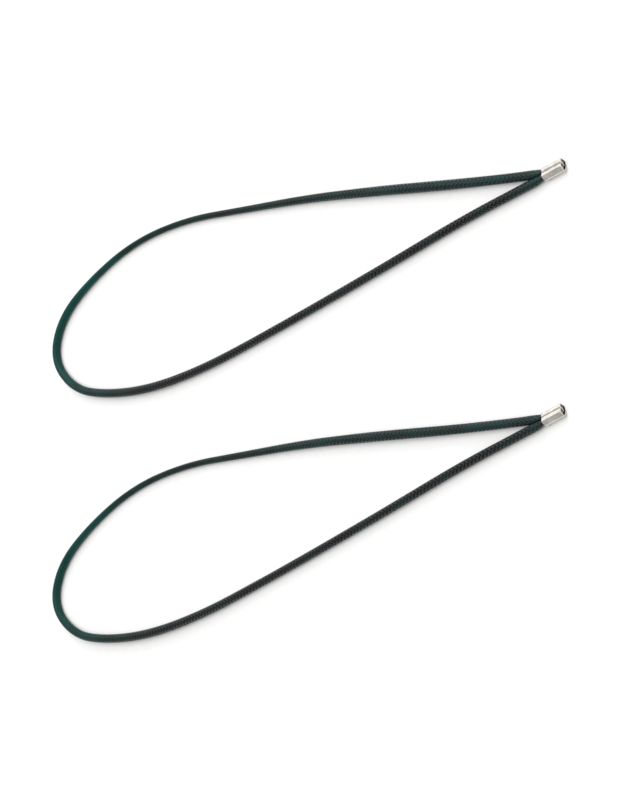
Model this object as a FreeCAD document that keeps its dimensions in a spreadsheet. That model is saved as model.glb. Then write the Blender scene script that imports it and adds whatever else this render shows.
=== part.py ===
import FreeCAD, Part
import math
import os
from FreeCAD import Placement, Rotation, Vector

# Two elastic loops that fasten a pair of climbing skins. Each loop is one length of
# braided shock cord (a textile cover round seven rubber threads) whose two ends lie
# side by side in one crimped ferrule, a strip of sheet metal bent to a six-sided tube with
# its inner edge turned in as a tongue between the ends.
# Millimetres, +Z up, +X towards the ferrules, the loops lie flat on Z = 0.

os.makedirs("parts", exist_ok=True)
doc = FreeCAD.newDocument("elastic_loop_pair")

# ---- driving dimensions ------------------------------------------------------------
driving = {
    "cord_dia": 4.0,         # braided cord, outside
    "cover_wall": 0.4,       # thickness of the braided cover
    "thread_dia": 1.0,       # one rubber thread
    "thread_pitch": 1.05,    # from the middle thread to each of the six round it
    "ferrule_len": 11.2,
    "ferrule_wide": 6.2,     # over the two side edges of the crimped tube
    "ferrule_high": 4.0,
    "side_rise": 0.45,       # one side edge is this much above the middle, the other below
    "ridge_y": -1.1,         # the ridge on top, where the long slanted face ends
    "shoulder_y": -2.9, "shoulder_z": 0.5,
    "foot_from": -0.5, "foot_to": 1.6,       # the flat that it rests on
    "sheet_thick": 0.4,
    "seam_gap": 0.08,        # slit between the sheet's outer edge and its tongue
    "tongue_lean": 50.0,     # degrees from upright
    "tongue_drop": 0.6,      # how far the tongue reaches below the middle
    "end_inset": 0.6,        # the cut cord ends stay this far inside the rim
    "end_apart": 2.1,        # between the middles of the two crimped ends
    "end_rise": 0.44,        # one end is crimped this much high, the other low
    "crimp_across": 0.39,    # the cord's width in the ferrule, as a part of its diameter
    "crimp_along": 0.52,     # the same along the tongue
    "loop_a_x": 168.88, "loop_a_y": 106.69, "loop_a_turn": 18.2,
    "loop_b_x": 168.88, "loop_b_y": 4.69, "loop_b_turn": 22.3,
    # the second loop lies a little longer, narrower and more askew than the first
    "loop_b_long": 1.027, "loop_b_narrow": 0.974, "loop_b_askew": 0.062,
}
sheet = doc.addObject("Spreadsheet::Sheet", "Dimensions")
for row, (alias, value) in enumerate(driving.items(), start=1):
    sheet.set("A%d" % row, alias)
    sheet.set("B%d" % row, str(value))
    sheet.setAlias("B%d" % row, alias)
doc.recompute()


def dim(alias):
    return float(sheet.get(alias))


cord_rad = dim("cord_dia") / 2
cover_inner_rad = cord_rad - dim("cover_wall")
thread_rad = dim("thread_dia") / 2
lean = math.radians(dim("tongue_lean"))

# The cord's route in the loop's own frame: the ferrule's mouth is the origin and the
# ferrule points along +X. The first point is where the cord has swelled to its full
# size outside the ferrule, then the lower leg, the bight and the upper leg back.
route_a = [
    (-8.5, -1.4), (-47, -0.7), (-95, -2.5), (-143, -3.8), (-190, -4.6), (-236, -4.8),
    (-280, -1), (-316, 8), (-342, 19.5), (-355, 40), (-341.5, 58.5), (-311, 69),
    (-271, 74.5), (-228, 70), (-184.5, 58), (-139, 45.5), (-93, 30.5), (-47.5, 15), (-8.5, 3),
]
route_b = [(x * dim("loop_b_long") + y * dim("loop_b_askew"), y * dim("loop_b_narrow")) for x, y in route_a]
bend_share = 0.45            # part of the shorter run that each bend takes up


# ---- the cord ------------------------------------------------------------------------
def corners(route):
    """For each inner point: where its bend starts, its middle, its end and its length."""
    points = [Vector(x, y, 0) for x, y in route]
    bends = []
    for before, here, after in zip(points, points[1:], points[2:]):
        run_in = here - before
        run_out = after - here
        turn = run_in.getAngle(run_out)
        tangent = bend_share * min(run_in.Length, run_out.Length)
        radius = tangent / math.tan(turn / 2)
        inward = run_out.normalize() - run_in.normalize()
        centre = here + inward.normalize() * (radius / math.cos(turn / 2))
        middle = centre + (here - centre).normalize() * radius
        bends.append((here - run_in * tangent, middle, here + run_out * tangent, centre, radius, turn))
    return points, bends


def beside(point, along, aside, height):
    """A point moved sideways and up from a cord that runs in the direction along."""
    left = Vector(-along.y, along.x, 0).normalize()
    return point + left * aside + Vector(0, 0, height)


def cord_path(route, aside, height):
    """The route as straight runs and tangent arcs, or a line parallel to it."""
    points, bends = corners(route)
    starts = [points[0]] + [bend[2] for bend in bends]
    stops = [bend[0] for bend in bends] + [points[-1]]
    edges = []
    for i, (start, stop) in enumerate(zip(starts, stops)):
        along = stop - start
        first = beside(start, along, aside, height)
        last = beside(stop, along, aside, height)
        edges.append(Part.LineSegment(first, last).toShape())
        if i < len(bends):
            middle, after = bends[i][1], bends[i][2]
            next_run = stops[i + 1] - starts[i + 1]
            bend_along = along.normalize() + Vector(next_run).normalize()
            through = beside(middle, bend_along, aside, height)
            edges.append(Part.Arc(last, through, beside(after, next_run, aside, height)).toShape())
    return Part.Wire(edges)


def section(centre, along, swell, spot, radius):
    """The outline of a round part of the cord, at spot in the cord's cross-section, where
    the crimp has let it swell back by the share swell (0 in the ferrule, 1 when free)."""
    along = Vector(along).normalize()
    left = Vector(-along.y, along.x, 0).normalize()
    up = Vector(0, 0, 1)
    across_dir = left * math.cos(lean) - up * math.sin(lean)
    along_dir = left * math.sin(lean) + up * math.cos(lean)
    across = dim("crimp_across") + (1 - dim("crimp_across")) * swell
    upright = dim("crimp_along") + (1 - dim("crimp_along")) * swell
    spot_in_space = left * spot[0] + up * spot[1]
    middle = centre + across_dir * (spot_in_space.dot(across_dir) * across)
    middle = middle + along_dir * (spot_in_space.dot(along_dir) * upright)
    if swell == 1:
        curve = Part.Circle(middle, along, radius)
        curve.XAxis = along_dir
    else:
        curve = Part.Ellipse(middle + along_dir * radius * upright, middle + across_dir * radius * across, middle)
    return Part.Wire([curve.toShape()])


def swelling(route_end, route_next, side, spot, radius):
    """The length outside the mouth where a crimped end grows to the free cord, plus the
    crimped length inside the ferrule."""
    crimped = Vector(0, side * dim("end_apart") / 2, -side * dim("end_rise"))
    free = Vector(route_end[0], route_end[1], 0)
    out = Vector(route_next[0], route_next[1], 0) - free
    out.normalize()
    reach = (free - crimped).Length / 3
    pulls = [crimped, crimped + Vector(-reach, 0, 0), free - out * reach, free]
    wires = []
    for step in range(4):
        share = step / 3
        a, b, c, d = pulls
        centre = (a * (1 - share) ** 3 + b * 3 * share * (1 - share) ** 2
                  + c * 3 * share ** 2 * (1 - share) + d * share ** 3)
        along = Vector(-1, 0, 0) * (1 - share) + out * share
        wires.append(section(centre, along * -1, share, spot, radius))
    loft = Part.makeLoft(wires, True, False)
    inside = Part.Face(wires[0]).extrude(Vector(dim("ferrule_len") - dim("end_inset"), 0, 0))
    return [loft, inside]


def round_part(route, spot, radius):
    """One round part of the cord from cut end to cut end: a thread, or the cover's outside."""
    path = cord_path(route, spot[0], spot[1])
    start = path.Vertexes[0].Point
    first_run = Vector(route[1][0] - route[0][0], route[1][1] - route[0][1], 0)
    profile = Part.Wire([Part.Circle(start, first_run, radius).toShape()])
    free_length = path.makePipeShell([profile], True, True)
    pieces = [free_length]
    pieces += swelling(route[0], route[1], -1, (-spot[0], spot[1]), radius)
    pieces += swelling(route[-1], route[-2], 1, spot, radius)
    return pieces[0].fuse(pieces[1:]).removeSplitter()


def add_feature(label, shape):
    feature = doc.addObject("Part::Feature", label)
    feature.Label = label
    feature.Shape = shape
    return feature


# ---- the ferrule ---------------------------------------------------------------------
def rounded_outline(points):
    """A closed outline as lines and arcs from a list of (y, z, corner radius)."""
    count = len(points)
    cuts = []
    for i in range(count):
        here = Vector(points[i][0], points[i][1], 0)
        to_last = (Vector(points[i - 1][0], points[i - 1][1], 0) - here).normalize()
        to_next = Vector(points[(i + 1) % count][0], points[(i + 1) % count][1], 0) - here
        to_next.normalize()
        half = to_last.getAngle(to_next) / 2
        radius = points[i][2]
        tangent = radius / math.tan(half)
        bisector = (to_last + to_next).normalize()
        middle = here + bisector * (radius / math.sin(half) - radius)
        cuts.append((here + to_last * tangent, middle, here + to_next * tangent))
    curves = []
    for i in range(count):
        start, middle, stop = cuts[i]
        curves.append(Part.Arc(start, middle, stop))
        curves.append(Part.LineSegment(stop, cuts[(i + 1) % count][0]))
    return curves


def meeting(line, other):
    """Where two lines cross; each is a point and a direction (y, z)."""
    (py, pz), (dy, dz) = line
    (qy, qz), (ey, ez) = other
    share = ((qy - py) * ez - (qz - pz) * ey) / (dy * ez - dz * ey)
    return py + dy * share, pz + dz * share


def ferrule_outline():
    """The strip seen from its end: over the seam's face, round the tube and down the tongue."""
    half_high = dim("ferrule_high") / 2
    half_wide = dim("ferrule_wide") / 2
    thick = dim("sheet_thick")
    outer = [
        (dim("ridge_y"), half_high), (dim("shoulder_y"), dim("shoulder_z")), (-half_wide, -dim("side_rise")),
        (dim("foot_from"), -half_high), (dim("foot_to"), -half_high), (half_wide, dim("side_rise")),
    ]
    radii = [0.5, 0.8, 0.7, 0.6, 0.6, 0.6]

    def face_line(first, inset):
        (ay, az), (by, bz) = outer[first], outer[(first + 1) % 6]
        length = math.hypot(by - ay, bz - az)
        return (ay - (bz - az) / length * inset, az + (by - ay) / length * inset), (by - ay, bz - az)

    inner = [meeting(face_line(i - 1, thick), face_line(i, thick)) for i in range(6)]

    def tongue_line(side, gap):
        return (side * thick / 2 / math.cos(lean) - gap / math.cos(lean), 0), (math.tan(lean), 1)

    top, under = face_line(5, 0), face_line(5, thick)
    drop = dim("tongue_drop")
    foot = [(-drop * math.tan(lean) + side * thick / 2 / math.cos(lean), -drop, 0.08) for side in (-1, 1)]
    rounds = [max(radius - thick, 0.1) for radius in radii]
    return (
        [meeting(top, tongue_line(-1, dim("seam_gap"))) + (0.06,)]
        + [spot + (radius,) for spot, radius in zip(outer, radii)]
        + [meeting(top, tongue_line(-1, 0)) + (0.12,)]
        + foot
        + [meeting(under, tongue_line(1, 0)) + (0.05,)]
        + [spot + (radius,) for spot, radius in zip(inner[::-1], rounds[::-1])]
        + [meeting(under, tongue_line(-1, dim("seam_gap"))) + (0.06,)]
    )


def add_ferrule(label):
    body = doc.addObject("PartDesign::Body", label)
    body.Label = label
    outline = body.newObject("Sketcher::SketchObject", label + "_outline")
    across = [plane for plane in body.Origin.OriginFeatures if plane.Role == "YZ_Plane"]
    outline.AttachmentSupport = [(across[0], "")]
    outline.MapMode = "FlatFace"
    outline.addGeometry(rounded_outline(ferrule_outline()), False)
    pad = body.newObject("PartDesign::Pad", label + "_strip")
    pad.Profile = outline
    pad.setExpression("Length", "Dimensions.ferrule_len")
    return body


# ---- both loops ----------------------------------------------------------------------
thread_spots = [(0, 0)]
for step in range(6):
    angle = math.radians(60 * step)
    thread_spots.append((dim("thread_pitch") * math.cos(angle), dim("thread_pitch") * math.sin(angle)))

nodes = []
for loop, route in (("loop_a", route_a), ("loop_b", route_b)):
    cover = round_part(route, (0, 0), cord_rad).cut(round_part(route, (0, 0), cover_inner_rad))
    members = [add_feature(loop + "_braided_cover", cover)]
    for number, spot in enumerate(thread_spots, start=1):
        thread = round_part(route, spot, thread_rad)
        members.append(add_feature("%s_rubber_thread_%d" % (loop, number), thread))
    members.append(add_ferrule(loop + "_ferrule"))
    for member in members:
        member.setExpression("Placement.Base.x", "Dimensions.%s_x * 1 mm" % loop)
        member.setExpression("Placement.Base.y", "Dimensions.%s_y * 1 mm" % loop)
        member.setExpression("Placement.Base.z", "Dimensions.cord_dia / 2 * 1 mm")
        member.Placement = Placement(
            Vector(dim(loop + "_x"), dim(loop + "_y"), cord_rad),
            Rotation(Vector(0, 0, 1), dim(loop + "_turn")),
        )
    nodes += members

doc.recompute()

# ---- checks and export ---------------------------------------------------------------
ends_length = dim("ferrule_len") - dim("end_inset")
for loop, route in (("loop_a", route_a), ("loop_b", route_b)):
    points, bends = corners(route)
    path_length = cord_path(route, 0, 0).Length
    print("%s smallest bend radius %.1f mm" % (loop, min(bend[4] for bend in bends)))
    print("%s largest turn %.1f degrees" % (loop, math.degrees(max(bend[5] for bend in bends))))
    print("%s longest run %.1f mm" % (loop, max((b - a).Length for a, b in zip(points, points[1:]))))
    print("%s route %.1f mm, cord cut length %.0f mm" % (loop, path_length, path_length + 2 * (9.1 + ends_length)))

for node in nodes:
    if any(word in node.State for word in ("Invalid", "Error")):
        raise RuntimeError("%s did not compute: %s" % (node.Label, node.State))
    if node.Shape.isNull() or not node.Shape.isValid():
        raise RuntimeError(node.Label + " has no valid shape")
    node.Shape.exportStep("parts/%s.step" % node.Label)
    print("%-28s %d solid(s) %9.1f mm3" % (node.Label, len(node.Shape.Solids), node.Shape.Volume))

whole = FreeCAD.BoundBox()
for node in nodes:
    whole.add(node.Shape.BoundBox)
print("box", whole)
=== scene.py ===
import math

import bmesh
import bpy
import numpy as np
from mathutils import Matrix, Vector, noise


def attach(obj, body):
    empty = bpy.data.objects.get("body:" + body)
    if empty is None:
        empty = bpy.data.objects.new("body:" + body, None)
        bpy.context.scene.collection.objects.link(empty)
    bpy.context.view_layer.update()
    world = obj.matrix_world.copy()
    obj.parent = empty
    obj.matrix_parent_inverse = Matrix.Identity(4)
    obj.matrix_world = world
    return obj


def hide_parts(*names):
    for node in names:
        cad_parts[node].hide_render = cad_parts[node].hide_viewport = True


# Two elastic loops for climbing skins: braided shock cord round rubber threads, each loop
# closed by a crimped sheet-metal ferrule. Metres; the loops lie flat on Z = 0.

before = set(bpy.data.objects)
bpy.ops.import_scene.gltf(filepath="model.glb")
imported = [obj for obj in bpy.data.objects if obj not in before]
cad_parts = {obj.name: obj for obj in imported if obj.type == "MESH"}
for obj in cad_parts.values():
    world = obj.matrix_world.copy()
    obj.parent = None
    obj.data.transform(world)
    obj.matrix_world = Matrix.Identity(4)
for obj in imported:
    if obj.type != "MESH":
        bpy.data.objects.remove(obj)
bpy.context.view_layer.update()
millimetre = 0.001

# where each loop's ferrule opens, how far the loop is turned about it, and how its route
# differs from the first loop's, as in the CAD
loops = {
    "loop_a": {
        "mouth": (0.16888, 0.10669), "turn": 18.2, "seed": 0.0,
        "long": 1.0, "narrow": 1.0, "askew": 0.0,
    },
    "loop_b": {
        "mouth": (0.16888, 0.00469), "turn": 22.3, "seed": 1.7,
        "long": 1.027, "narrow": 0.974, "askew": 0.062,
    },
}
cord = {
    "diameter": 0.004,
    "crimpedLength": 0.0109,      # from the cut end to the ferrule's mouth
    "endApart": 0.0021,           # between the two crimped ends
    "endRise": 0.00044,
    "squeezeAcross": 0.39,
    "squeezeAlong": 0.52,
    "lean": 50.0,                 # the crimp's slant, degrees from upright
    "swellLength": 0.0070,        # outside the mouth, back to full size
    "legGap": 0.00004,            # between the two legs where they press together
    "pressReach": 0.02,           # the legs can touch within this of the mouth
    "pressSoftness": 0.00012,     # how gently the flat between them begins
    "pressDepth": 0.0006,
    # an elastic cord isn't even: fuller where it lies slack, thinner where it was drawn
    "fullnessBlend": (-0.016, -0.008, 0, 0.008, 0.016),
    "fullness": [
        (0.0, 1.0), (0.200, 0.98), (0.250, 1.06), (0.300, 1.15), (0.345, 1.12), (0.380, 1.10),
        (0.405, 1.08), (0.430, 0.92), (0.455, 0.81), (0.500, 0.77), (0.560, 0.83), (0.600, 0.96),
        (0.640, 1.12), (0.680, 1.22), (0.715, 1.12), (0.760, 1.0),
    ],
    "route": [                    # in the loop's own frame, +X out through the ferrule
        (-0.0085, -0.0012), (-0.047, -0.0007), (-0.095, -0.0025), (-0.143, -0.0038),
        (-0.190, -0.0046), (-0.236, -0.0048), (-0.280, -0.001), (-0.316, 0.008),
        (-0.342, 0.0195), (-0.355, 0.040), (-0.3415, 0.0585), (-0.311, 0.069),
        (-0.271, 0.0745), (-0.228, 0.070), (-0.1845, 0.058), (-0.139, 0.0455),
        (-0.093, 0.0305), (-0.0475, 0.015), (-0.0085, 0.0028),
    ],
}


# ---- materials ------------------------------------------------------------------------
def hexColour(text):
    # sRGB hex to the linear colour that a shader takes
    def linear(part):
        return part / 12.92 if part <= 0.04045 else ((part + 0.055) / 1.055) ** 2.4
    return tuple(linear(int(text[i:i + 2], 16) / 255) for i in (0, 2, 4)) + (1.0,)


def addNode(tree, kind, settings=None, links=None):
    # one node with its settings, inputs' values and links
    node = tree.nodes.new(kind)
    for name, value in (settings or {}).items():
        if isinstance(name, str) and name in node.bl_rna.properties:
            setattr(node, name, value)
        else:
            node.inputs[name].default_value = value
    for name, source in (links or {}).items():
        tree.links.new(source, node.inputs[name])
    return node


def newMaterial(name):
    material = bpy.data.materials.new(name)
    material.use_nodes = True
    tree = material.node_tree
    tree.nodes.clear()
    shader = addNode(tree, "ShaderNodeBsdfPrincipled")
    addNode(tree, "ShaderNodeOutputMaterial", links={"Surface": shader.outputs["BSDF"]})
    return material, tree, shader


def ramp(tree, factor, stops):
    # a colour ramp of (place, hex colour) stops
    node = addNode(tree, "ShaderNodeValToRGB", links={"Fac": factor})
    band = node.color_ramp
    while len(band.elements) < len(stops):
        band.elements.new(0.5)
    for element, (place, colour) in zip(band.elements, stops):
        element.position = place
        element.color = hexColour(colour)
    return node.outputs["Color"]


yarnLook = {
    # in each pair the first colour is the painted shade at a yarn's edges, where it dives under, the second
    # its crown
    "black": "08090a", "blackCrown": "121416",      # most yarns
    "green": "03201d", "greenCrown": "0b5c53",      # the green yarn colour; its strong teal at the bight is painted sheen
    "pale": "0c0e0f", "paintedGlintCrown": "272c2e",        # every other yarn, its paler crowns a painted glint
    "filament": 0.11,         # mm, coarser than the real 0.02 mm so that it shows
    "roughness": 0.45, "paleRoughness": 0.26,
    "shine": 0.08, "paleShine": 0.5,
}


def braidedPolyester():
    # bulked polyester yarn, braided: soft satin crowns, with painted shade at the edges where a yarn dives
    # under
    material, tree, shader = newMaterial("braided_polyester")
    surface = addNode(tree, "ShaderNodeUVMap", {"uv_map": "yarn"})
    parts = addNode(tree, "ShaderNodeSeparateXYZ", links={"Vector": surface.outputs["UV"]})
    tone = addNode(tree, "ShaderNodeAttribute", {"attribute_name": "greenShare"})
    place = addNode(tree, "ShaderNodeTexCoord")
    cloud = addNode(tree, "ShaderNodeTexNoise", {"Scale": 90.0, "Detail": 3.0},
                    {"Vector": place.outputs["Object"]})
    # across a yarn: V runs from -1 at one edge to 1 at the other
    away = addNode(tree, "ShaderNodeMath", {"operation": "ABSOLUTE"}, {0: parts.outputs["Y"]})
    # painted shade: darkest at a yarn's edges, where it dives under the next, lightest on its crown
    crown = addNode(tree, "ShaderNodeMapRange",
                    {"interpolation_type": "SMOOTHSTEP", "From Min": 1.0, "From Max": 0.1},
                    {"Value": away.outputs[0]})
    stretch = addNode(tree, "ShaderNodeMapping", {"Scale": (1.5, 1 / yarnLook["filament"] / 2, 1.0)},
                      {"Vector": surface.outputs["UV"]})
    fibre = addNode(tree, "ShaderNodeTexNoise", {"Scale": 1.0, "Detail": 2.0, "Roughness": 0.6},
                    {"Vector": stretch.outputs["Vector"]})
    fibreAndEdgeShade = addNode(tree, "ShaderNodeMath", {"operation": "MULTIPLY"},
                   {0: crown.outputs[0], 1: fibre.outputs["Fac"]})
    fibreAndEdgeShade = addNode(tree, "ShaderNodeMath", {"operation": "MULTIPLY", 1: 1.5}, {0: fibreAndEdgeShade.outputs[0]})
    # each ramp runs from the painted edge shade to the crown colour, with the fibre noise mixed in
    black = ramp(tree, fibreAndEdgeShade.outputs[0], [(0.0, yarnLook["black"]), (1.0, yarnLook["blackCrown"])])
    green = ramp(tree, fibreAndEdgeShade.outputs[0], [(0.0, yarnLook["green"]), (1.0, yarnLook["greenCrown"])])
    # every other yarn: a lighter crown that is a painted glint
    pale = ramp(tree, fibreAndEdgeShade.outputs[0],
                [(0.0, yarnLook["black"]), (0.35, yarnLook["pale"]), (1.0, yarnLook["paintedGlintCrown"])])
    blotch = addNode(tree, "ShaderNodeMapRange",
                     {"From Min": 0.35, "From Max": 0.65, "To Min": -0.15, "To Max": 0.15},
                     {"Value": cloud.outputs["Fac"]})
    share = addNode(tree, "ShaderNodeMath", {"operation": "ADD", "use_clamp": True},
                    {0: tone.outputs["Fac"], 1: blotch.outputs[0]})
    # the green share turns black yarn green; at the bight this green is painted sheen
    blackGreenMix = addNode(tree, "ShaderNodeMix", {"data_type": "RGBA"},
                   {"Factor": share.outputs[0], 6: black, 7: green})
    # every other yarn gets a paler crown, which is a painted glint, and a glossier, shinier finish
    glintShareNode = addNode(tree, "ShaderNodeAttribute", {"attribute_name": "paintedGlintShare"})
    colour = addNode(tree, "ShaderNodeMix", {"data_type": "RGBA"},
                     {"Factor": glintShareNode.outputs["Fac"], 6: blackGreenMix.outputs[2], 7: pale})
    bump = addNode(tree, "ShaderNodeBump", {"Strength": 0.5, "Distance": 0.00005},
                   {"Height": fibre.outputs["Fac"]})
    tree.links.new(colour.outputs[2], shader.inputs["Base Color"])
    tree.links.new(bump.outputs["Normal"], shader.inputs["Normal"])
    gloss = addNode(tree, "ShaderNodeMapRange",
                    {"To Min": yarnLook["roughness"], "To Max": yarnLook["paleRoughness"]},
                    {"Value": glintShareNode.outputs["Fac"]})
    tree.links.new(gloss.outputs[0], shader.inputs["Roughness"])
    shine = addNode(tree, "ShaderNodeMapRange",
                    {"To Min": yarnLook["shine"], "To Max": yarnLook["paleShine"]},
                    {"Value": glintShareNode.outputs["Fac"]})
    tree.links.new(shine.outputs[0], shader.inputs["Specular IOR Level"])
    return material


def latexRubber():
    # raw latex thread: matt, pale grey, with a slightly dusty skin
    material, tree, shader = newMaterial("latex_rubber")
    place = addNode(tree, "ShaderNodeTexCoord")
    dust = addNode(tree, "ShaderNodeTexNoise", {"Scale": 2500.0, "Detail": 4.0},
                   {"Vector": place.outputs["Object"]})
    colour = ramp(tree, dust.outputs["Fac"], [(0.3, "8d8f88"), (0.7, "b9bab2")])
    bump = addNode(tree, "ShaderNodeBump", {"Strength": 0.3, "Distance": 0.00004},
                   {"Height": dust.outputs["Fac"]})
    tree.links.new(colour, shader.inputs["Base Color"])
    tree.links.new(bump.outputs["Normal"], shader.inputs["Normal"])
    shader.inputs["Roughness"].default_value = 0.75
    return material


def nickelPlate():
    # nickel-plated mild steel, tumbled: bright, slightly warm, with fine scuffs and dull patches
    material, tree, shader = newMaterial("nickel_plated_steel")
    place = addNode(tree, "ShaderNodeTexCoord")
    dull = addNode(tree, "ShaderNodeTexNoise", {"Scale": 420.0, "Detail": 4.0, "Roughness": 0.6},
                   {"Vector": place.outputs["Object"]})
    scuff = addNode(tree, "ShaderNodeTexNoise", {"Scale": 4200.0, "Detail": 3.0},
                    {"Vector": place.outputs["Object"]})
    colour = ramp(tree, dull.outputs["Fac"], [(0.3, "c9c4bd"), (0.7, "e6e2db")])
    rough = addNode(tree, "ShaderNodeMapRange",
                    {"From Min": 0.3, "From Max": 0.7, "To Min": 0.13, "To Max": 0.2},
                    {"Value": dull.outputs["Fac"]})
    bump = addNode(tree, "ShaderNodeBump", {"Strength": 0.25, "Distance": 0.00002},
                   {"Height": scuff.outputs["Fac"]})
    tree.links.new(colour, shader.inputs["Base Color"])
    tree.links.new(rough.outputs[0], shader.inputs["Roughness"])
    tree.links.new(bump.outputs["Normal"], shader.inputs["Normal"])
    shader.inputs["Metallic"].default_value = 1.0
    return material


def paper():
    # a plain matt backdrop
    material, tree, shader = newMaterial("backdrop_paper")
    place = addNode(tree, "ShaderNodeTexCoord")
    grain = addNode(tree, "ShaderNodeTexNoise", {"Scale": 300.0, "Detail": 2.0},
                    {"Vector": place.outputs["Object"]})
    colour = ramp(tree, grain.outputs["Fac"], [(0.3, "f4f4f3"), (0.7, "f7f7f6")])
    tree.links.new(colour, shader.inputs["Base Color"])
    shader.inputs["Roughness"].default_value = 0.9
    return material


polyester, latex, nickel = braidedPolyester(), latexRubber(), nickelPlate()
print("stage: materials")


# ---- the cord's line ------------------------------------------------------------------
def cordLine(lie):
    # the smooth line of one loop's cord, from cut end to cut end, in the loop's own frame
    inside = cord["crimpedLength"]
    apart = cord["endApart"] / 2
    route = [(x * lie["long"] + y * lie["askew"], y * lie["narrow"]) for x, y in cord["route"]]
    points = [(inside, -apart), (-0.001, -apart)] + route + [(-0.001, apart), (inside, apart)]
    curve = bpy.data.curves.new("cord_line", "CURVE")
    curve.dimensions = "3D"
    spline = curve.splines.new("NURBS")
    spline.points.add(len(points) - 1)
    for point, (x, y) in zip(spline.points, points):
        point.co = (x, y, cord["diameter"] / 2, 1.0)
    spline.order_u = 3
    spline.use_endpoint_u = True
    spline.resolution_u = 40
    holder = bpy.data.objects.new("cord_line", curve)
    bpy.context.scene.collection.objects.link(holder)
    mesh = bpy.data.meshes.new_from_object(holder)
    spots = np.array([vertex.co[:] for vertex in mesh.vertices])
    bpy.data.objects.remove(holder)
    bpy.data.meshes.remove(mesh)
    steps = np.hypot(*np.diff(spots[:, :2], axis=0).T)
    keep = np.concatenate(([True], steps > 1e-7))
    spots = spots[keep]
    along = np.concatenate(([0.0], np.cumsum(np.hypot(*np.diff(spots[:, :2], axis=0).T))))
    way = np.gradient(spots[:, :2], along, axis=0)
    way /= np.hypot(*way.T)[:, None]
    return {"along": along, "spots": spots, "way": way, "length": along[-1]}


lines = {name: cordLine(loops[name]) for name in loops}
for name in loops:
    print("stage: %s line, %.1f mm from cut end to cut end" % (name, lines[name]["length"] / millimetre))


def legMiddle(x, line):
    # the plane between the two legs near the ferrule, where they press on each other
    half = len(line["along"]) // 2
    nearby = 400                  # samples, well past the stretch where the legs can touch
    lower, upper = line["spots"][:half], line["spots"][half:]
    lowerY = np.interp(x, lower[::-1, 0][-nearby:], lower[::-1, 1][-nearby:])
    upperY = np.interp(x, upper[-nearby:, 0], upper[-nearby:, 1])
    return (lowerY + upperY) / 2


def onCord(s, aside, up, name):
    # places in the frame for points at s along the cord, moved aside and up from its line,
    # with the crimp's squeeze near the ferrule and the flat where the legs press together
    line = lines[name]
    end = line["length"]
    s = np.clip(s, 0.0, end)
    marks, shares = zip(*cord["fullness"])
    shifts = cord["fullnessBlend"]
    full = sum(np.interp(s + shift, marks, shares) for shift in shifts) / len(shifts)
    aside, up = aside * full, up * full
    centre = np.stack([np.interp(s, line["along"], line["spots"][:, i]) for i in (0, 1)], axis=1)
    way = np.stack([np.interp(s, line["along"], line["way"][:, i]) for i in (0, 1)], axis=1)
    way /= np.hypot(*way.T)[:, None]
    secondLeg = s > end / 2
    facing = np.where(secondLeg, 1.0, -1.0)             # +1 where the cord runs towards the ferrule
    outside = np.minimum(s, end - s) - cord["crimpedLength"]
    share = np.clip(outside / cord["swellLength"], 0.0, 1.0)
    share = 1 - (1 - share) ** 2
    left = aside * facing                               # towards +Y at the ferrule on both legs
    lean = math.radians(cord["lean"])
    across = left * math.cos(lean) - up * math.sin(lean)
    tall = left * math.sin(lean) + up * math.cos(lean)
    across = across * (cord["squeezeAcross"] + (1 - cord["squeezeAcross"]) * share)
    tall = tall * (cord["squeezeAlong"] + (1 - cord["squeezeAlong"]) * share)
    left = across * math.cos(lean) + tall * math.sin(lean)
    up = -across * math.sin(lean) + tall * math.cos(lean) - facing * cord["endRise"] * (1 - share)
    x = centre[:, 0] - way[:, 1] * facing * left
    y = centre[:, 1] + way[:, 0] * facing * left
    near = (outside > 0) & (outside < cord["pressReach"])
    room = (y - legMiddle(x, line)) * facing - cord["legGap"] / 2
    soft = cord["pressSoftness"]
    eased = soft * np.logaddexp(0.0, np.clip(room / soft, -50, 50))
    y = np.where(near & (room < cord["pressDepth"]), y + facing * (eased - room), y)
    z = cord["diameter"] / 2 * (1 + (full - 1) * share) + up
    turn = math.radians(loops[name]["turn"])
    mouth = loops[name]["mouth"]
    return np.stack([
        mouth[0] + x * math.cos(turn) - y * math.sin(turn),
        mouth[1] + x * math.sin(turn) + y * math.cos(turn),
        np.maximum(z, 0.0),
    ], axis=1)


# ---- braided cover ----------------------------------------------------------------------
braid = {
    "carriersEachWay": 8,
    "pitch": 0.0096,              # along the cord for one turn of a yarn
    "stepsPerTurn": 30,
    "yarnWidth": 0.00106,
    "middleRadius": 0.00178,
    "weave": 0.0001,             # how far a yarn goes out over two and in under two
    "crown": 0.00009,
    "paintedGlintYarns": (0, 2, 4, 6),   # which carriers get the painted glint and the glossier finish
    "twists": ((0.5, 0.061, 1), (0.3, 0.023, 2)),     # slow turns of the braid: amount, period, seed's part
    # how green the cord is, from one cut end to the other; the strong green at the bight is painted sheen
    "greenAlong": [
        (0.0, 0.45), (0.025, 0.35), (0.045, 0.08), (0.3, 0.0), (0.40, 0.1), (0.44, 0.5), (0.49, 0.9),
        (0.52, 1.0), (0.58, 0.85), (0.62, 0.4), (0.67, 0.2), (0.75, 0.25), (0.85, 0.35), (0.95, 0.45),
        (1.0, 0.45),
    ],
    # and how strong the painted glint on every other yarn is, along the cord
    "paintedGlintAlong": [
        (0.0, 0.9), (0.35, 1.0), (0.45, 0.5), (0.55, 0.25), (0.65, 0.3), (0.8, 0.7), (1.0, 0.9),
    ],
}


def finishPiece(name, mesh, material, body, node):
    piece = bpy.data.objects.new(name, mesh)
    bpy.context.scene.collection.objects.link(piece)
    mesh.materials.append(material)
    mesh.shade_smooth()
    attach(piece, body)
    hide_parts(node)
    return piece


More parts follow.
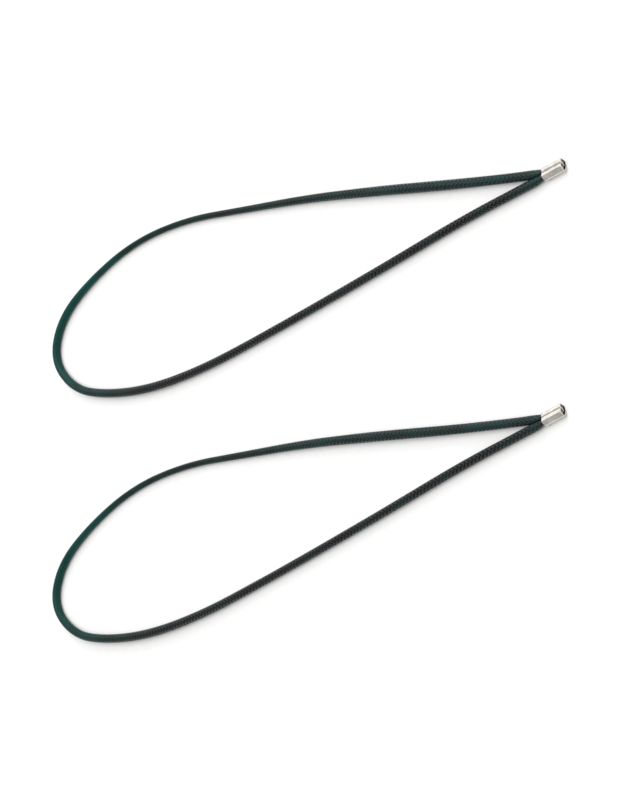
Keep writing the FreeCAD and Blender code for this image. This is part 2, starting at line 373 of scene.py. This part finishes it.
def braidedCover(name):
    # 16 yarns, eight each way, each over two and under two of the others
    line = lines[name]
    steps = int(round(line["length"] / braid["pitch"] * braid["stepsPerTurn"]))
    work = bmesh.new()
    for carrier in range(braid["carriersEachWay"] * 2):
        bmesh.ops.create_grid(work, x_segments=steps, y_segments=2, size=0.5)
    bmesh.ops.reverse_faces(work, faces=work.faces)
    mesh = bpy.data.meshes.new(name + "_cord")
    work.to_mesh(mesh)
    work.free()
    flat = np.empty(len(mesh.vertices) * 3)
    mesh.vertices.foreach_get("co", flat)
    flat = flat.reshape(-1, 3)
    perYarn = len(flat) // (braid["carriersEachWay"] * 2)
    carrier = np.arange(len(flat)) // perYarn
    hand = np.where(carrier < braid["carriersEachWay"], 1.0, -1.0)
    share = flat[:, 0] + 0.5
    edge = flat[:, 1] * 2
    s = share * line["length"]
    radius = braid["middleRadius"]
    slope = math.atan2(2 * math.pi * radius, braid["pitch"])
    half = braid["yarnWidth"] / 2
    seed = loops[name]["seed"]
    drift = sum(amount * np.sin(s / period + part * seed) for amount, period, part in braid["twists"])
    angle = hand * 2 * math.pi * s / braid["pitch"] + 2 * math.pi * carrier / braid["carriersEachWay"]
    angle = angle + edge * half * math.cos(slope) / radius
    s = s - hand * edge * half * math.sin(slope)
    height = radius + hand * braid["weave"] * np.cos(4 * angle) + braid["crown"] * (1 - edge ** 2)
    around = angle + drift
    placed = onCord(s, height * np.cos(around), height * np.sin(around), name)
    mesh.vertices.foreach_set("co", placed.ravel())
    corner = np.empty(len(mesh.loops), dtype=np.int32)
    mesh.loops.foreach_get("vertex_index", corner)
    uv = mesh.uv_layers.new(name="yarn")
    lengthAlong = s / math.cos(slope) / millimetre + 31.7 * carrier
    uv.data.foreach_set("uv", np.stack([lengthAlong[corner], edge[corner]], axis=1).ravel())
    tone = mesh.attributes.new("greenShare", "FLOAT", "POINT")
    along = s / line["length"]
    # green along the cord; at the bight it is painted sheen
    greener = np.interp(along, *zip(*braid["greenAlong"]))
    # every other yarn carries the painted glint, stronger or weaker along the cord as the table gives
    glintCarrier = np.isin(carrier % braid["carriersEachWay"], braid["paintedGlintYarns"])
    tone.data.foreach_set("value", greener)
    pale = mesh.attributes.new("paintedGlintShare", "FLOAT", "POINT")
    pale.data.foreach_set("value", glintCarrier * np.interp(along, *zip(*braid["paintedGlintAlong"])))
    return finishPiece(name + "_cord", mesh, polyester, name, name + "_braided_cover")


# ---- rubber threads -----------------------------------------------------------------------
rubber = {"radius": 0.00049, "pitch": 0.00105, "sides": 8, "steps": 420, "crowding": 0.155}


def rubberThread(name, number):
    spot = (0.0, 0.0)
    if number > 1:
        angle = math.radians(60 * (number - 2))
        spot = (rubber["pitch"] * math.cos(angle), rubber["pitch"] * math.sin(angle))
    work = bmesh.new()
    bmesh.ops.create_grid(work, x_segments=rubber["steps"], y_segments=rubber["sides"], size=0.5)
    verts = list(work.verts)
    share = np.array([vert.co.x + 0.5 for vert in verts])
    around = np.array([(vert.co.y + 0.5) * 2 * math.pi for vert in verts])
    # rings close together near the cut ends, where the cord changes shape
    share = share - rubber["crowding"] * np.sin(2 * math.pi * share)
    placed = onCord(share * lines[name]["length"], spot[0] + rubber["radius"] * np.cos(around),
                    spot[1] + rubber["radius"] * np.sin(around), name)
    for vert, place in zip(verts, placed):
        vert.co = place
    bmesh.ops.remove_doubles(work, verts=work.verts, dist=1e-7)
    bmesh.ops.holes_fill(work, edges=[edge for edge in work.edges if edge.is_boundary], sides=0)
    bmesh.ops.recalc_face_normals(work, faces=work.faces)
    label = "%s_rubber_thread_%d" % (name, number)
    mesh = bpy.data.meshes.new(label)
    work.to_mesh(mesh)
    work.free()
    return finishPiece(label + "_strand", mesh, latex, name, label)


# ---- ferrule --------------------------------------------------------------------------------
ferrule = {
    "length": 0.0112, "wide": 0.0062, "high": 0.004, "thick": 0.0004,
    "sideRise": 0.00045, "ridge": -0.0011, "shoulder": (-0.0029, 0.0005),
    "foot": (-0.0005, 0.0016),    # from and to, the flat that it rests on
    "seamGap": 0.0004,
    "tongueLean": 50.0, "tongueDrop": 0.0006,
    "bendRadius": 0.00026, "foldRadius": 0.00018,
    "dent": 0.00002,
    "dentsAt": (0.0042, 0.0090),  # the two marks of the crimping jaws
    "dentReach": 0.0009,
    "dentRadius": 0.0026,         # the tube's mean radius, which a dent is a part of
}


def meeting(line, other):
    # where two lines cross, each a point and a direction
    (p, d), (q, e) = line, other
    return p + d * ((q - p).cross(e) / d.cross(e))


def ferruleStrip(name):
    # the strip's middle surface is drawn end on, run out to its length and given its thickness
    half = ferrule["thick"] / 2
    high, wide, rise = ferrule["high"] / 2, ferrule["wide"] / 2, ferrule["sideRise"]
    outer = [Vector(spot) for spot in (
        (ferrule["ridge"], high), ferrule["shoulder"], (-wide, -rise),
        (ferrule["foot"][0], -high), (ferrule["foot"][1], -high), (wide, rise))]
    faces = []
    for first, second in zip(outer, outer[1:] + outer[:1]):
        way = (second - first).normalized()
        faces.append((first + Vector((-way.y, way.x)) * half, way))
    middle = [meeting(faces[i - 1], faces[i]) for i in range(6)]
    lean = math.radians(ferrule["tongueLean"])
    tongue = Vector((math.sin(lean), math.cos(lean)))
    fold = meeting(faces[5], (Vector((0, 0)), tongue))
    seam = fold + faces[5][1] * (half + ferrule["seamGap"])
    outline = [seam] + middle + [fold, tongue * (-ferrule["tongueDrop"] / tongue.y)]
    work = bmesh.new()
    corners = [work.verts.new((0, y, z)) for y, z in outline]
    edges = [work.edges.new(pair) for pair in zip(corners, corners[1:])]
    made = bmesh.ops.extrude_edge_only(work, edges=edges)
    moved = [item for item in made["geom"] if isinstance(item, bmesh.types.BMVert)]
    bmesh.ops.translate(work, verts=moved, vec=(ferrule["length"], 0, 0))
    for sharp in (False, True):
        bends = [edge for edge in work.edges if not edge.is_boundary
                 and abs(edge.verts[0].co.x - edge.verts[1].co.x) > 0.001
                 and ((edge.verts[0].co.yz - fold).length < 1e-6) == sharp
                 and (sharp or min((edge.verts[0].co.yz - spot).length for spot in middle) < 1e-6)]
        bmesh.ops.bevel(work, geom=bends, offset=ferrule["foldRadius" if sharp else "bendRadius"],
                        segments=5, profile=0.5, affect="EDGES", material=-1)
    long = [edge for edge in work.edges if abs(edge.verts[0].co.x - edge.verts[1].co.x) > 0.001]
    bmesh.ops.subdivide_edges(work, edges=long, cuts=25, use_grid_fill=True)
    for vert in work.verts:
        x, y, z = vert.co
        wave = noise.noise(Vector((x * 420 + loops[name]["seed"], y * 380, z * 380)))
        press = sum(math.exp(-((x - jaw) / ferrule["dentReach"]) ** 2) for jaw in ferrule["dentsAt"])
        inward = 1 - ferrule["dent"] * (0.35 * wave + 0.6 * press) / ferrule["dentRadius"]
        vert.co.y *= inward
        vert.co.z *= inward
    turn = Matrix.Rotation(math.radians(loops[name]["turn"]), 4, "Z")
    mouth = loops[name]["mouth"]
    bmesh.ops.transform(work, matrix=Matrix.Translation((mouth[0], mouth[1], cord["diameter"] / 2)) @ turn,
                        verts=work.verts)
    bmesh.ops.recalc_face_normals(work, faces=work.faces)
    mesh = bpy.data.meshes.new(name + "_ferrule_strip")
    work.to_mesh(mesh)
    work.free()
    piece = finishPiece(name + "_ferrule_strip", mesh, nickel, name, name + "_ferrule")
    wall = piece.modifiers.new("wall", "SOLIDIFY")
    wall.thickness = ferrule["thick"]
    wall.offset = 0
    wall.use_even_offset = True
    rim = piece.modifiers.new("rim", "BEVEL")
    rim.width = 0.00007
    rim.segments = 2
    rim.limit_method = "ANGLE"
    rim.angle_limit = math.radians(50)
    return piece


for name in loops:
    threads = [rubberThread(name, number) for number in range(1, 8)]
    ferruleStrip(name)
    cover = braidedCover(name)
    count = 400
    s = np.linspace(0, lines[name]["length"], count)
    path = onCord(s, np.zeros(count), np.zeros(count), name)
    onCord(np.array([cord["crimpedLength"]]), np.zeros(1), np.zeros(1), name)[0]
    print("stage: %s, cover %d faces" % (name, len(cover.data.polygons)))

# ---- studio ---------------------------------------------------------------------------------
studio = {
    "elevation": 42.0,            # of the camera above the floor, looking along -X and on its side
    "distance": 1.0465,
    "aim": (0.02301, 0.01279, 0.0),
    "lens": 101.25,
}


def studioFloor():
    work = bmesh.new()
    bmesh.ops.create_grid(work, x_segments=1, y_segments=1, size=6.0)
    mesh = bpy.data.meshes.new("floor")
    work.to_mesh(mesh)
    work.free()
    floor = bpy.data.objects.new("floor", mesh)
    bpy.context.scene.collection.objects.link(floor)
    mesh.materials.append(paper())


def softLight(label, place, size, power):
    # a round lamp that points at the middle of the floor
    data = bpy.data.lights.new(label, "AREA")
    data.shape = "DISK"
    data.size = size
    data.energy = power
    lamp = bpy.data.objects.new(label, data)
    bpy.context.scene.collection.objects.link(lamp)
    lamp.location = place
    lamp.rotation_euler = (-Vector(place)).to_track_quat("-Z", "Y").to_euler()


def studioCamera():
    rise = math.radians(studio["elevation"])
    right = Vector((math.sin(rise), 0, -math.cos(rise)))
    back = Vector((math.cos(rise), 0, math.sin(rise)))
    up = back.cross(right)
    data = bpy.data.cameras.new("camera")
    data.lens = studio["lens"]
    data.clip_start = 0.01
    camera = bpy.data.objects.new("camera", data)
    bpy.context.scene.collection.objects.link(camera)
    turn = Matrix((right, up, back)).transposed().to_4x4()
    camera.matrix_world = Matrix.Translation(Vector(studio["aim"]) + back * studio["distance"]) @ turn
    bpy.context.scene.camera = camera


studioFloor()
studioCamera()
softLight("overhead", (0.1, 0.5, 1.6), 2.4, 23)
softLight("key", (-0.3, 1.7, 0.85), 0.9, 11)
softLight("far", (-1.9, 0.9, 0.95), 1.5, 4.4)
world = bpy.data.worlds.new("studio")
world.use_nodes = True
world.node_tree.nodes["Background"].inputs["Color"].default_value = (1, 1, 1, 1)
world.node_tree.nodes["Background"].inputs["Strength"].default_value = 0.56
bpy.context.scene.world = world
bpy.context.scene.view_settings.view_transform = "Standard"
print("stage: studio")
